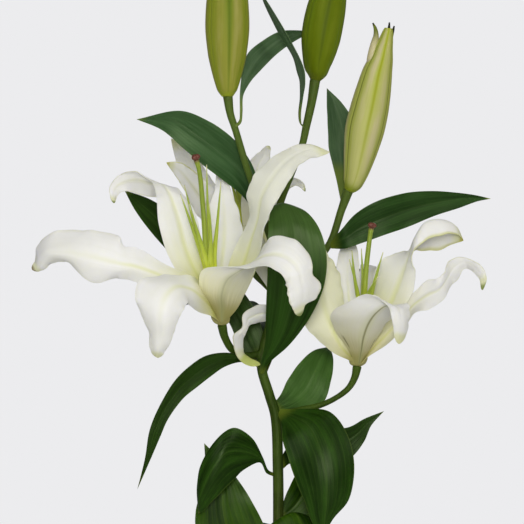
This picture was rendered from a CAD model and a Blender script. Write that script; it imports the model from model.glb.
"""A white trumpet lily in a plain terracotta pot, dressed for its portrait.

Every leaf, tepal, bud and stalk follows the control points that it has in part.mjs, drawn finer,
with thin edges, grooves and ruffles. Lengths are in millimetres and turned into metres when
a mesh is made. The plant's front faces -Y.
"""

import math

import bpy
import numpy as np
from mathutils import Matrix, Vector, noise

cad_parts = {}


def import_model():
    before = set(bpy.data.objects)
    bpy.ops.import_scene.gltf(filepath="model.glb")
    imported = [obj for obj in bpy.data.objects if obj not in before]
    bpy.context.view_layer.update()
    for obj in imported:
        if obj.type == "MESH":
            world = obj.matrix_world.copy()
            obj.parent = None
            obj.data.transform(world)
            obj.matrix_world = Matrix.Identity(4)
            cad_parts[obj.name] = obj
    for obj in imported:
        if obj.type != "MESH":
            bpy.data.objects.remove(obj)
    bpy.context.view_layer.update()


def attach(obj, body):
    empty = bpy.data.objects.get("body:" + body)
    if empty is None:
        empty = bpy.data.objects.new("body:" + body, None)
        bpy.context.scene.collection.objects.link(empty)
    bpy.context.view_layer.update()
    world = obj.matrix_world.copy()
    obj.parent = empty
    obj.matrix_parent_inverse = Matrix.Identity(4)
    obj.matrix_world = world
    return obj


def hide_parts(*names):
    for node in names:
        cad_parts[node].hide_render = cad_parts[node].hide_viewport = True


MM = 0.001
TURN = 2 * math.pi

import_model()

# Driving dimensions, as in part.mjs
LEAF_THICK = 0.9
TEPAL_THICK = 1.2
POT_HEIGHT = 150
POT_RIM_RADIUS = 84
POT_FOOT_RADIUS = 58
POT_WALL = 5
POT_FLOOR = 7
RIM_BAND = 26
RIM_PROUD = 4
DRAIN_RADIUS = 5
DRAIN_CIRCLE = 30
SOIL_TOP = 130
STEM_FOOT = 72
STEM_RADIUS = 4.1
GAP = 0.35

# The camera looks level along +Y from far away, as the photo does
CAMERA_AT = (-10.6, -5000, 483.6)
FRAME_WIDTH = 366.8  # what the picture's width covers at the plant
SENSOR = 36


# Curves

def curve(points):
    """A centripetal Catmull-Rom curve through the points, as a function of t from 0 to 1."""
    p = np.array(points, float)
    p = np.vstack([2 * p[0] - p[1], p, 2 * p[-1] - p[-2]])
    spans = len(points) - 1

    def step(a, b):
        return np.sum((b - a) ** 2, -1, keepdims=True) ** 0.25

    def at(t):
        place = np.clip(np.asarray(t, float), 0, 1) * spans
        i = np.minimum(place.astype(int), spans - 1)
        w = (place - i)[..., None]
        a, b, c, d = p[i], p[i + 1], p[i + 2], p[i + 3]
        ab, bc, cd = step(a, b), step(b, c), step(c, d)
        leave = ((b - a) / ab - (c - a) / (ab + bc) + (c - b) / bc) * bc
        reach = ((c - b) / bc - (d - b) / (bc + cd) + (d - c) / cd) * bc
        bend = -3 * b + 3 * c - 2 * leave - reach
        return b + leave * w + bend * w**2 + (2 * b - 2 * c + leave + reach) * w**3

    return at


def unit(v):
    return v / np.maximum(np.linalg.norm(v, axis=-1, keepdims=True), 1e-9)


def tangent(path, t, step=1e-3):
    return unit(path(np.minimum(t + step, 1)) - path(np.maximum(t - step, 0)))


def angles(sides):
    return np.arange(sides) * TURN / sides


def circle(sides, radius=1.0, middle=(0, 0, 0)):
    """Points of a level circle."""
    turn = angles(sides)
    return np.stack([radius * np.cos(turn), radius * np.sin(turn), 0 * turn], -1) + middle


def bell(x, width):
    """1 where x is 0, falling to almost nothing at twice the width."""
    return np.exp(-((x / width) ** 2))


def wavy(turns):
    """A sine of so many full turns."""
    return np.sin(TURN * turns)


def from_thirds(turn):
    """How far an angle lies from the nearest third of a full turn."""
    return np.mod(turn + TURN / 6, TURN / 3) - TURN / 6


def ribbon(mids, widths, across, cup=0.08):
    """Stations of a blade from its midrib, its widths and the direction its width runs in."""
    path = curve(mids)
    wide = unit(np.array(across, float))
    stations = []
    for i, (mid, width) in enumerate(zip(mids, widths)):
        lift = unit(np.cross(wide, tangent(path, i / (len(mids) - 1)))) * width * cup
        left, right = (np.array(mid) + side * wide * width / 2 + lift for side in (-1, 1))
        stations.append([left, mid, right])
    return stations + [mids[-1]]


# Meshes

def placed(name, data):
    """A new object in the scene."""
    made = bpy.data.objects.new(name, data)
    bpy.context.scene.collection.objects.link(made)
    return made


def dress(piece, node, sharp=None):
    """Shades a piece smoothly, but for edges past the angle, and has it stand for its node."""
    piece.data.shade_smooth()
    if sharp:
        piece.data.set_sharp_from_angle(angle=math.radians(sharp))
    piece.data.update()
    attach(piece, "root")
    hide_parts(node)


class Shape:
    """Vertices, faces and their UVs, gathered part by part."""

    def __init__(self):
        self.points = []
        self.faces = []
        self.uvs = []
        self.slots = []

    def add(self, points, faces, uvs, slot=0):
        """uvs holds one (u, v) for each corner of each face."""
        start = sum(len(p) for p in self.points)
        self.points.append(np.asarray(points, float))
        self.faces += [tuple(int(i) + start for i in face) for face in faces]
        self.uvs += [tuple(uv) for face in uvs for uv in face]
        self.slots += [slot] * len(faces)

    def loose(self, name):
        """A bare mesh object."""
        mesh = bpy.data.meshes.new(name)
        mesh.from_pydata((np.vstack(self.points) * MM).tolist(), [], self.faces)
        return placed(name, mesh)

    def piece(self, node, slot, materials, sharp=None):
        """The mesh object that stands for a node of the frame."""
        made = self.loose(node + "_fine")
        layer = made.data.uv_layers.new(name="along")
        layer.data.foreach_set("uv", np.array(self.uvs, np.float32).ravel())
        made.data.polygons.foreach_set("material_index", self.slots)
        for material in materials:
            made.data.materials.append(material)
        dress(made, node, sharp)


def applied(source, node, material, sharp=None):
    """Applies an object's modifiers and has the new object stand for its node, in the slot of the same
    name; the old one goes."""
    shown = source.evaluated_get(bpy.context.evaluated_depsgraph_get())
    mesh = bpy.data.meshes.new_from_object(shown)
    bpy.data.objects.remove(source)
    mesh.name = node + "_fine"
    mesh.materials.clear()
    mesh.materials.append(material)
    dress(placed(node + "_fine", mesh), node, sharp)


def grid_faces(index):
    """Quads between neighbouring rows and columns of a grid of vertex numbers."""
    corners = [index[:-1, :-1], index[:-1, 1:], index[1:, 1:], index[1:, :-1]]
    return np.stack(corners, -1).reshape(-1, 4)


# A blade: leaf or tepal

WIDE = 24  # stretches as wide as this are ruffled and grooved in full, narrower ones less
BACK = 2  # added to u on the lower or outer face
GROOVE_WIDTH = 0.16  # of half the blade's width, like the next one
FURROW_WIDTH = 0.07
EDGE_FALL = 2.5  # how late the thickness falls from the midrib to the edge
TIP_THIN = 0.35  # the thickness near the tip, as a part of the blade's
NOSE = 0.12  # half the thickness of the very tip, as a part of the blade's


def no_lobes(t, s):
    return 0


def blade(shape, stations, *, rows, cols, thick, edge, fold, groove, keel, wave, slot=0, blunt=0.0,
          lobes=no_lobes):
    """Adds a closed blade. Its stations are [left edge, midrib, right edge] from foot to tip. The
    midrib lies in a soft groove, with a narrow furrow of depth keel along the lower face. Blunt
    rounds the stretch past the last station, and lobes(t, s) widens or narrows the blade."""
    tip = np.array(stations[-1], float)
    left, mid, right = (curve([row[k] for row in stations[:-1]] + [tip]) for k in range(3))
    t = np.linspace(0, 1, rows + 1)[:-1, None]
    if blunt:
        t = np.sin(t * math.pi / 2)  # rows lie closer towards a rounded tip
    s = np.linspace(-1, 1, cols + 1)[None, :]
    end = np.clip(t * (len(stations) - 1) - (len(stations) - 2), 0, 1)  # 0-1 past the last station
    swell = 1 + blunt * (np.sqrt((1 + end) / (1 - end)) - 1)

    def facing(points):
        return unit(np.cross(np.gradient(points, axis=1), np.gradient(points, axis=0)))

    l, m, r = (side(t + 0 * s) for side in (left, mid, right))
    reach = (s * swell * (1 + lobes(t, s)))[..., None]
    points = m + (r - l) / 2 * reach + ((r + l) / 2 - m) * np.abs(s + 0 * t)[..., None] ** fold
    spread = np.linalg.norm(points[:, -1] - points[:, 0], axis=-1)[:, None]
    slim = np.clip(spread / WIDE, 0, 1)
    fading = np.minimum(1, 4 * (1 - t))
    offset = (wave(t, s) - groove * bell(s, GROOVE_WIDTH) * fading) * slim
    points = points + facing(points) * offset[..., None]
    normal = facing(points)
    thinning = np.minimum(1, TIP_THIN + 5 * (1 - t))
    profile = thick * (1 - (1 - edge) * np.abs(s) ** EDGE_FALL) * thinning
    furrow = keel * bell(s, FURROW_WIDTH) * fading * slim
    upper = points + normal * profile[..., None] / 2
    lower = points - normal * (profile / 2 - furrow)[..., None]
    nose = normal[-1, cols // 2] * thick * NOSE

    count = rows * (cols + 1)
    index = np.arange(count).reshape(rows, cols + 1)
    top_tip = 2 * count
    low_tip = top_tip + 1
    vertices = np.vstack([upper.reshape(-1, 3), lower.reshape(-1, 3), [tip + nose], [tip - nose]])
    flat = np.stack([(s + 0 * t + 1) / 2, t + 0 * s], -1).reshape(-1, 2)
    where = np.vstack([flat, flat + [BACK, 0], [[0.5, 1], [0.5 + BACK, 1]]])

    sheet = grid_faces(index)
    last = index[-1]
    faces = [tuple(f) for f in sheet]
    faces += [tuple(f) for f in sheet[:, ::-1] + count]
    faces += [(last[j], last[j + 1], top_tip) for j in range(cols)]
    faces += [(last[j + 1] + count, last[j] + count, low_tip) for j in range(cols)]
    uvs = [[where[i] for i in face] for face in faces]

    rim = list(index[:, 0]) + [top_tip] + list(index[::-1, -1]) + list(index[0, ::-1][1:])
    under = {top_tip: low_tip}
    for a, b in zip(rim, rim[1:]):
        faces.append((a, b, under.get(b, b + count), under.get(a, a + count)))
        uvs.append([where[a], where[b], where[b], where[a]])
    shape.add(vertices, faces, uvs, slot)


# Tubes

def close_tube(shape, rings, u0=0.0, slot=0):
    """Adds the skin over a row of rings of points, with a fan over each end. Its u runs around and
    its v along."""
    count, sides = len(rings), len(rings[0])
    index = np.arange(count * sides).reshape(count, sides)
    index = np.hstack([index, index[:, :1]])
    low = count * sides
    high = low + 1
    middles = [np.mean(ring, 0, keepdims=True) for ring in (rings[0], rings[-1])]
    u = u0 + np.arange(sides + 1) / sides
    v = np.arange(count) / (count - 1)
    spots = np.stack(np.meshgrid(u, v), -1).reshape(-1, 2)
    faces = list(grid_faces(index))
    uvs = list(spots[grid_faces(np.arange(len(spots)).reshape(count, -1))])
    for j in range(sides):
        faces.append((index[0, j + 1], index[0, j], low))
        uvs.append([(u[j + 1], 0), (u[j], 0), (u[j], 0)])
        faces.append((index[-1, j], index[-1, j + 1], high))
        uvs.append([(u[j], 1), (u[j + 1], 1), (u[j], 1)])
    shape.add(np.vstack([*rings, *middles]), faces, uvs, slot)


def hoop(turn, side, other):
    """Points of a unit circle in the plane of two directions."""
    return np.outer(np.cos(turn), side) + np.outer(np.sin(turn), other)


ASIDE = [0.3, 0.9, 0.2]  # a direction that no rod starts in


def rod(shape, points, radii, *, sides, rings, u0=0.0):
    """Adds a round rod along a curve, closed at both ends."""
    t = np.linspace(0, 1, rings + 1)
    centres = curve(points)(t)
    ways = unit(np.gradient(centres, axis=0))
    side = unit(np.cross(ways[0], ASIDE))
    around = []
    for centre, way, radius in zip(centres, ways, np.interp(t, np.linspace(0, 1, len(radii)), radii)):
        side = unit(side - way * np.dot(side, way))
        around.append(centre + radius * hoop(angles(sides), side, np.cross(way, side)))
    close_tube(shape, around, u0)


# Leaves and blooms

LEAF_FORM = {"rows": 64, "cols": 20, "thick": LEAF_THICK, "edge": 0.35, "fold": 1.3, "groove": 0.4, "keel": 0}
TEPAL_FORM = {"rows": 110, "cols": 34, "thick": TEPAL_THICK, "edge": 0.4, "fold": 1.6, "groove": 0.5,
              "keel": 0.45}
RIM_ANGLE = 50  # a blade's thin edge stays crisp
RIPPLE = 0.35  # how far a leaf's edges rise and fall
PLEAT_DEPTH = 0.05
PLEATS = 3.5  # on each half of a leaf
SWING = 1.2  # the height of a tepal's broad waves, and then of its frills and fine frills
FRILL = 0.55
FINE_FRILL = 0.22
SCALLOP = 0.05  # of half the tepal's width
SHORT_TIP = 10  # a tip that lies nearer than this to the last station is round, the others are pointed
ROUND = 0.7
POINTED = 0.15


def leaf(name, stations, material, seed, ripple=RIPPLE):
    """A leaf: the solid's blade, with a grooved midrib and a faint ripple of its own."""
    def wave(t, s):
        swell = wavy(1.7 * t + seed * 0.37) * np.sin(3.1 * t + seed)
        edge = wavy(5.5 * t + seed * 0.61 + 0.2 * s) * np.abs(s) ** 3
        pleats = PLEAT_DEPTH * np.cos(TURN * PLEATS * np.abs(s)) * np.minimum(1, 6 * t)
        return (ripple * (swell * s * s + edge) + pleats) * np.sin(math.pi * t)

    shape = Shape()
    blade(shape, stations, **LEAF_FORM, wave=wave)
    shape.piece(name, "leaf", [material], RIM_ANGLE)


def tepals(name, bloom, materials, slots):
    """The tepals of a bloom. Slots names those that are not plain, with the number of their material."""
    shape = Shape()
    for i, (place, stations) in enumerate(bloom["tepals"].items()):
        def wave(t, s, i=i):
            broad = SWING * np.sin(math.pi * t) * s * s * wavy(2.5 * t + i * 0.37 + 0.3 * s)
            frill = FRILL * wavy(8.5 * t + i * 0.73 + 0.15 * s) * np.abs(s) ** 3.5
            fine = FINE_FRILL * wavy(17 * t + i * 0.29) * np.abs(s) ** 6
            return broad + (frill + fine) * np.clip(4 * t - 0.6, 0, 1) * np.clip(6 * (1 - t), 0, 1)

        def lobes(t, s, i=i):
            scallop = np.abs(np.sin(math.pi * (9 * t + i * 0.4 + 0.35 * np.sign(s)))) - 0.5
            fade = np.clip(4 * t - 1.6, 0, 1) * np.clip(8 * (1 - t), 0, 1)
            return SCALLOP * scallop * np.abs(s) ** 3 * fade

        reach = np.linalg.norm(np.subtract(stations[-1], stations[-2][1]))
        blade(shape, stations, **TEPAL_FORM, wave=wave, lobes=lobes, slot=slots.get(place, 0),
              blunt=ROUND if reach < SHORT_TIP else POINTED)
    bowl(shape, bloom)
    shape.piece(name, "tepal", materials, RIM_ANGLE)


# The bowl's radius and the height over the bloom's foot
BOWL = [[2.4, -0.5], [3.3, 0.1], [4.6, 0.8], [5.7, 2], [6.3, 3.6], [6.6, 5], [6.2, 6.3], [4, 7], [0.5, 6.4]]
BOWL_SIDES = 64
BOWL_RINGS = 40
BOWL_DEPTH = 0.6  # from front to back, as a part of its width
BOWL_SPOT = (BACK + 0.3, 0.03)  # it has the colour of this place on a tepal


def bowl(shape, bloom):
    """The shallow foot of a bloom, flatter from front to back, which its tepals spring from."""
    foot = np.array(bloom["foot"], float)
    lean = bloom["heart"] - foot
    around = circle(BOWL_SIDES) * (1, BOWL_DEPTH, 1)
    part = Shape()
    close_tube(part, [foot + lean / lean[2] * height + radius * around
                      for radius, height in curve(BOWL)(np.linspace(0, 1, BOWL_RINGS))])
    shape.add(part.points[0], part.faces, [[BOWL_SPOT] * len(face) for face in part.faces])


STYLE_START = 4  # above the bloom's foot
STYLE_RADII = [2.2, 2.8, 2.6, 2.1, 1.8, 1.6, 1.9]
FILAMENT_START = 6
FILAMENT_RADII = [1.6, 3, 2.2, 1.1, 0.3]
THREAD_MARK = 2  # added to u on the filaments


def stamens(name, bloom, material):
    """A bloom's style and its filaments."""
    foot = np.array(bloom["foot"], float)
    way = unit(bloom["heart"] - foot)
    shape = Shape()
    rod(shape, [foot + way * STYLE_START] + bloom["style"], STYLE_RADII, sides=24, rings=48)
    for points in bloom["filaments"]:
        rod(shape, [foot + way * FILAMENT_START] + points, FILAMENT_RADII, sides=12, rings=40, u0=THREAD_MARK)
    shape.piece(name, "stamens", [material])


# The stigma's radius and the height over the style's end
STIGMA = [[1.6, 0.1], [2.2, 0.7], [3, 1.7], [2.85, 2.9], [1.9, 3.9], [0.9, 3.9], [0.15, 3.5]]
STIGMA_SIDES = 72
STIGMA_RINGS = 22
STIGMA_LOBE = 0.12  # of its radius
FURROW_DEPTH = 0.5


def stigma(name, bloom, material):
    """The style's end: a flattened knob in three lobes, with furrows between them."""
    style = curve(bloom["style"])
    upright = Vector((0, 0, 1)).rotation_difference(Vector(tangent(style, 1.0).tolist()))
    lift = np.array(upright.to_matrix())
    turn = angles(STIGMA_SIDES)
    furrow = bell(from_thirds(turn - TURN / 6), 0.16)
    rings = []
    for radius, height in curve(STIGMA)(np.linspace(0, 1, STIGMA_RINGS)):
        depth = FURROW_DEPTH * furrow * min(1, height / 2)
        r = (1 + STIGMA_LOBE * np.cos(3 * turn)) * radius - depth / 2
        ring = np.stack([np.cos(turn) * r, np.sin(turn) * r, height - depth * (1 - radius / 4)], -1)
        rings.append(style(1.0) + ring @ lift.T)
    shape = Shape()
    close_tube(shape, rings)
    shape.piece(name, "stigma", [material])


# Buds

RIB = 0.05  # how far each of a bud's three sides bulges, as a part of its radius
RIB_TURN = math.radians(35)  # where the first one lies
RIDGE = 0.25  # along the middle of each, with a groove in it
GROOVE_DEPTH = 0.2
SEAM_DEPTH = 0.3
BUD_SIDES = 120
BUD_RINGS = 96
TIP_MARK = 3  # added to u on a bud's first tip, and twice that on its dark spikes


def bud(name, sections, tips, material):
    """A closed bud: three outer tepals with broad ribs, their edges meeting in seams. Both fade
    towards the bud's ends."""
    path = curve([middle for middle, _ in sections])
    radii = curve([[radius, i] for i, (_, radius) in enumerate(sections)])
    turn = angles(BUD_SIDES)
    rib = from_thirds(turn - RIB_TURN)
    seam = from_thirds(turn - RIB_TURN - TURN / 6)
    relief = RIDGE * bell(rib, 0.2) - GROOVE_DEPTH * bell(rib, 0.06) - SEAM_DEPTH * bell(seam, 0.07)
    rings = []
    for t in np.linspace(0, 1, BUD_RINGS + 1):
        along = tangent(path, t)
        side = unit(np.cross([0, 1, 0], along))
        fading = math.sin(math.pi * min(1, t * 1.02)) ** 0.7
        r = radii(t)[0] * (1 - RIB + RIB * np.cos(3 * (turn - RIB_TURN))) + fading * relief
        rings.append(path(t) + r[:, None] * hoop(turn, side, np.cross(along, side)))
    shape = Shape()
    close_tube(shape, rings, u0=-RIB_TURN / TURN)
    for k, (points, tip_radii) in enumerate(tips):
        rod(shape, points, tip_radii, sides=20, rings=24, u0=TIP_MARK * (1 if k == 0 else 2))
    shape.piece(name, "bud", [material])


# The stem, melted into one piece with its pedicels

STEM_VOXEL = 0.7
STEM_SOFTENING = 2


def stem(material):
    shape = Shape()
    rod(shape, AXIS, AXIS_RADII, sides=24, rings=160)
    for points, radii in PEDICELS.values():
        rod(shape, points, radii, sides=20, rings=70)
    rough = shape.loose("stem_rough")
    melt = rough.modifiers.new("melt", "REMESH")
    melt.mode = "VOXEL"
    melt.voxel_size = STEM_VOXEL * MM
    soften = rough.modifiers.new("soften", "SMOOTH")
    soften.iterations = STEM_SOFTENING
    soften.factor = 0.5
    applied(rough, "stem", material)


# Pot and soil

POT_TOP_RADIUS = POT_RIM_RADIUS - RIM_PROUD
POT_SIDES = 160
DRAIN_SIDES = 40
DRAIN_TURNS = (30, 150, 270)
POT_SHARP = 40


def outer_radius(z):
    return POT_FOOT_RADIUS + (POT_TOP_RADIUS - POT_FOOT_RADIUS) * z / POT_HEIGHT


def inner_radius(z):
    return outer_radius(z) - POT_WALL


def pot(material):
    """A thrown pot with a thick band under its lip, and three drainage holes."""
    band_foot = POT_HEIGHT - RIM_BAND
    band = outer_radius(band_foot)
    mouth = inner_radius(POT_HEIGHT)
    profile = [
        [DRAIN_CIRCLE, 0], [POT_FOOT_RADIUS - 3.2, 0], [POT_FOOT_RADIUS - 1.2, 0.5],
        [POT_FOOT_RADIUS + 0.1, 2.2],
        *([outer_radius(z), z] for z in (20, 60, 100)),
        [band - 0.3, band_foot - 1.5], [band + 0.5, band_foot - 0.2],
        [band + RIM_PROUD - 1.6, band_foot + 0.4], [band + RIM_PROUD - 0.6, band_foot + 2],
        [POT_RIM_RADIUS - 1.5, POT_HEIGHT - 3.4], [POT_RIM_RADIUS - 2, POT_HEIGHT - 1.2],
        [POT_RIM_RADIUS - 3.4, POT_HEIGHT - 0.1], [POT_RIM_RADIUS - 5, POT_HEIGHT],
        [mouth + 1.6, POT_HEIGHT - 0.1], [mouth + 0.4, POT_HEIGHT - 1.2], [mouth, POT_HEIGHT - 3],
        *([inner_radius(z), z] for z in (100, 50, POT_FLOOR)),
        [DRAIN_CIRCLE, POT_FLOOR],
    ]
    shape = Shape()
    close_tube(shape, [circle(POT_SIDES, r, (0, 0, z)) for r, z in profile])
    body = shape.loose("pot_rough")
    drills = Shape()
    for angle in DRAIN_TURNS:
        x, y = (DRAIN_CIRCLE * f(math.radians(angle)) for f in (math.cos, math.sin))
        close_tube(drills, [circle(DRAIN_SIDES, DRAIN_RADIUS, (x, y, z)) for z in (-3, POT_FLOOR + 3)])
    cutter = drills.loose("drills")
    cut = body.modifiers.new("holes", "BOOLEAN")
    cut.object = cutter
    cut.operation = "DIFFERENCE"
    cut.solver = "EXACT"
    applied(body, "pot", material, POT_SHARP)
    bpy.data.objects.remove(cutter)


SOIL_RINGS = 90
SOIL_SIDES = 200
SOIL_EDGE = 6  # the lumps fade out this near the pot's wall
STEM_AT = (1.0, 0.0)  # where the stem enters the soil
STEM_HOLE = 4.6
HOLE_FOOT = 95
HOLE_TAPER = 0.999  # towards its foot
SOIL_SHARP = 35
SOIL_HEIGHTS = (POT_FLOOR + GAP, 40, 80, 110)  # of the rings along the pot's wall
MOUND_RADII = [0, 18, 42, 66]
MOUND_HEIGHTS = [5, 4, 2, 0.5, 0]  # the last one is at the edge
LUMPS = ((1.5, 9, 0), (0.9, 3.3, 4), (0.5, 1.3, 9))  # their height, their size and the layer of noise
CHIPS = 720
CHIP_SEED = 7
CHIP_INSET = 4  # chips lie this far inside the soil's edge
CHIP_SIDES = 7
CHIP_RINGS = ((-0.75, 0.55), (-0.2, 1), (0.35, 0.92), (0.85, 0.45))  # height and radius of each
GRIT_SHARE = 0.09
GRIT_SIZES = ((0.9, 0.9, 0.9), (1.9, 1.9, 1.9))
BARK_SIZES = ((2, 1.1, 0.6), (6.2, 2.6, 1.3))


def soil(materials):
    """Potting soil mounded at the stem, with loose chips of bark and a few white grains."""
    edge = inner_radius(SOIL_TOP) - GAP

    def height(x, y):
        r = math.hypot(x, y)
        mound = np.interp(r, MOUND_RADII + [edge], MOUND_HEIGHTS)
        lumps = sum(tall * noise.noise(Vector((x / wide, y / wide, layer))) for tall, wide, layer in LUMPS)
        return SOIL_TOP + mound + lumps * np.clip((edge - r) / SOIL_EDGE, 0, 1)

    rings = [circle(SOIL_SIDES, inner_radius(z) - GAP, (0, 0, z)) for z in SOIL_HEIGHTS]
    rim = circle(SOIL_SIDES, edge)[:, :2]
    hole = circle(SOIL_SIDES, STEM_HOLE)[:, :2] + STEM_AT
    for k in range(SOIL_RINGS + 1):
        part = (k / SOIL_RINGS) ** 0.9
        rings.append(np.array([[x, y, height(x, y)] for x, y in rim * (1 - part) + hole * part]))
    rings.append(np.hstack([hole * HOLE_TAPER, np.full((SOIL_SIDES, 1), float(HOLE_FOOT))]))
    shape = Shape()
    close_tube(shape, rings)

    near, far = 9 / edge, 0.95  # the parts of the soil's area that chips lie between
    draw = np.random.default_rng(CHIP_SEED)
    for _ in range(CHIPS):
        angle = draw.uniform(0, TURN)
        r = draw.uniform(near, far) ** 0.5 * (edge - CHIP_INSET)
        grit = draw.uniform() < GRIT_SHARE
        size = draw.uniform(*(GRIT_SIZES if grit else BARK_SIZES))
        x, y = r * math.cos(angle), r * math.sin(angle)
        chip(shape, (x, y, height(x, y) + size[2] / 4), size, draw, 2 if grit else 1)
    shape.piece("soil", "soil", materials, SOIL_SHARP)


def chip(shape, at, size, draw, slot):
    """A broken lump: a rough ball of few faces, stretched, tipped and turned."""
    spin, tip = draw.uniform(0, TURN), draw.uniform(-0.35, 0.35)
    ca, sa, ct, st = math.cos(spin), math.sin(spin), math.cos(tip), math.sin(tip)
    turned = np.array([[ca, -sa, 0], [sa, ca, 0], [0, 0, 1]]) @ [[ct, 0, st], [0, 1, 0], [-st, 0, ct]]
    rings = []
    for z, r in CHIP_RINGS:
        ring = circle(CHIP_SIDES, draw.uniform(0.78, 1.15, CHIP_SIDES) * r)
        ring[:, 2] = z + draw.uniform(-0.15, 0.15, CHIP_SIDES)
        rings.append(at + (ring * size / 2) @ turned.T)
    close_tube(shape, rings, slot=slot)


# Materials

def srgb(red, green, blue):
    """A colour given as 0-255 sRGB, as linear RGBA."""
    linear = [((c / 255 + 0.055) / 1.055) ** 2.4 if c > 10 else c / 255 / 12.92 for c in (red, green, blue)]
    return (*linear, 1)


class Look:
    """A material whose node tree is built step by step; a step returns a socket."""

    def __init__(self, name):
        self.material = bpy.data.materials.new(name)
        self.material.use_nodes = True
        self.tree = self.material.node_tree
        self.shader = next(n for n in self.tree.nodes if n.type == "BSDF_PRINCIPLED")

    def node(self, kind, inputs, output=0, **settings):
        made = self.tree.nodes.new(kind)
        for key, value in settings.items():
            setattr(made, key, value)
        for key, value in inputs.items():
            self.put(made.inputs[key], value)
        return made.outputs[output]

    def put(self, socket, value):
        if isinstance(value, bpy.types.NodeSocket):
            self.tree.links.new(value, socket)
        else:
            socket.default_value = value

    def set(self, **values):
        """Sets or links the shader's inputs; underscores stand for spaces. Returns the material."""
        for key, value in values.items():
            self.put(self.shader.inputs[key.replace("_", " ")], value)
        return self.material

    def soft(self, weight, radius):
        """Light that enters the skin and comes out nearby, with the radius of each colour in metres."""
        self.set(Subsurface_Weight=weight, Subsurface_Radius=radius, Subsurface_Scale=1.0)

    def math(self, operation, a, b=0.0):
        return self.node("ShaderNodeMath", {0: a, 1: b}, operation=operation)

    def times(self, value, *others):
        for other in others:
            value = self.math("MULTIPLY", value, other)
        return value

    def total(self, *pairs):
        """The sum of values, each times its weight."""
        first, *others = (self.times(value, weight) for value, weight in pairs)
        for other in others:
            first = self.math("ADD", first, other)
        return first

    def shifted(self, value, fuzz, amount):
        """A value moved up and down by noise around 0.5."""
        return self.math("ADD", value, self.times(self.math("SUBTRACT", fuzz, 0.5), amount))

    def smooth(self, value, low, high, to_low=0.0, to_high=1.0):
        inputs = {"Value": value, "From Min": low, "From Max": high, "To Min": to_low, "To Max": to_high}
        return self.node("ShaderNodeMapRange", inputs, interpolation_type="SMOOTHSTEP")

    def line(self, distance, width):
        """1 on a line, falling smoothly to 0 at the width from it."""
        return self.smooth(distance, 0.0, width, 1.0, 0.0)

    def mix(self, amount, a, b):
        return self.node("ShaderNodeMix", {0: amount, 6: a, 7: b}, 2, data_type="RGBA")

    def tint(self, color, other, *amounts):
        """The colour mixed with another, by the product of the amounts."""
        return self.mix(self.times(*amounts), color, other)

    def noise(self, vector, scale, detail=3.0, roughness=0.5):
        inputs = {"Vector": vector, "Scale": scale, "Detail": detail, "Roughness": roughness}
        return self.node("ShaderNodeTexNoise", inputs)

    def vector(self, x, y, z):
        return self.node("ShaderNodeCombineXYZ", {0: x, 1: y, 2: float(z)})

    def parts(self, vector):
        split = self.tree.nodes.new("ShaderNodeSeparateXYZ")
        self.tree.links.new(vector, split.inputs[0])
        return split.outputs

    def coords(self):
        """Object coordinates, in metres."""
        return self.node("ShaderNodeTexCoord", {}, 3)

    def scaled(self, vector, *scale):
        return self.node("ShaderNodeMapping", {"Vector": vector, "Scale": scale})

    def uv(self):
        """u and v of the piece's own map."""
        u, v, _ = self.parts(self.node("ShaderNodeUVMap", {}, uv_map="along"))
        return u, v

    def fibres(self, u, v, across, along, seed, detail=3.0, roughness=0.5):
        """Noise drawn out along the piece, with so many fibres across it and along it."""
        place = self.vector(self.times(u, across), self.times(v, along), seed)
        return self.noise(place, 1.0, detail, roughness)

    def bump(self, height, distance, strength):
        inputs = {"Height": height, "Distance": distance * MM, "Strength": strength}
        return self.node("ShaderNodeBump", inputs)


def blade_coords(look):
    """Across the blade 0-1, 1 on its under or outer face, distance from the midrib 0-1, and along 0-1."""
    u, v = look.uv()
    under = look.math("GREATER_THAN", u, BACK - 0.5)
    across = look.math("SUBTRACT", u, look.times(under, float(BACK)))
    off = look.times(look.math("ABSOLUTE", look.math("SUBTRACT", across, 0.5)), 2.0)
    return across, under, off, v


def veins(look, across, v, seed, scale, wander, count):
    """The place across the blade, wandering a little, and a sine with so many waves across it."""
    course = look.math("ADD", across, look.times(look.noise(look.vector(across, v, seed), scale), wander))
    return course, look.math("SINE", look.times(course, TURN * count))


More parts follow.
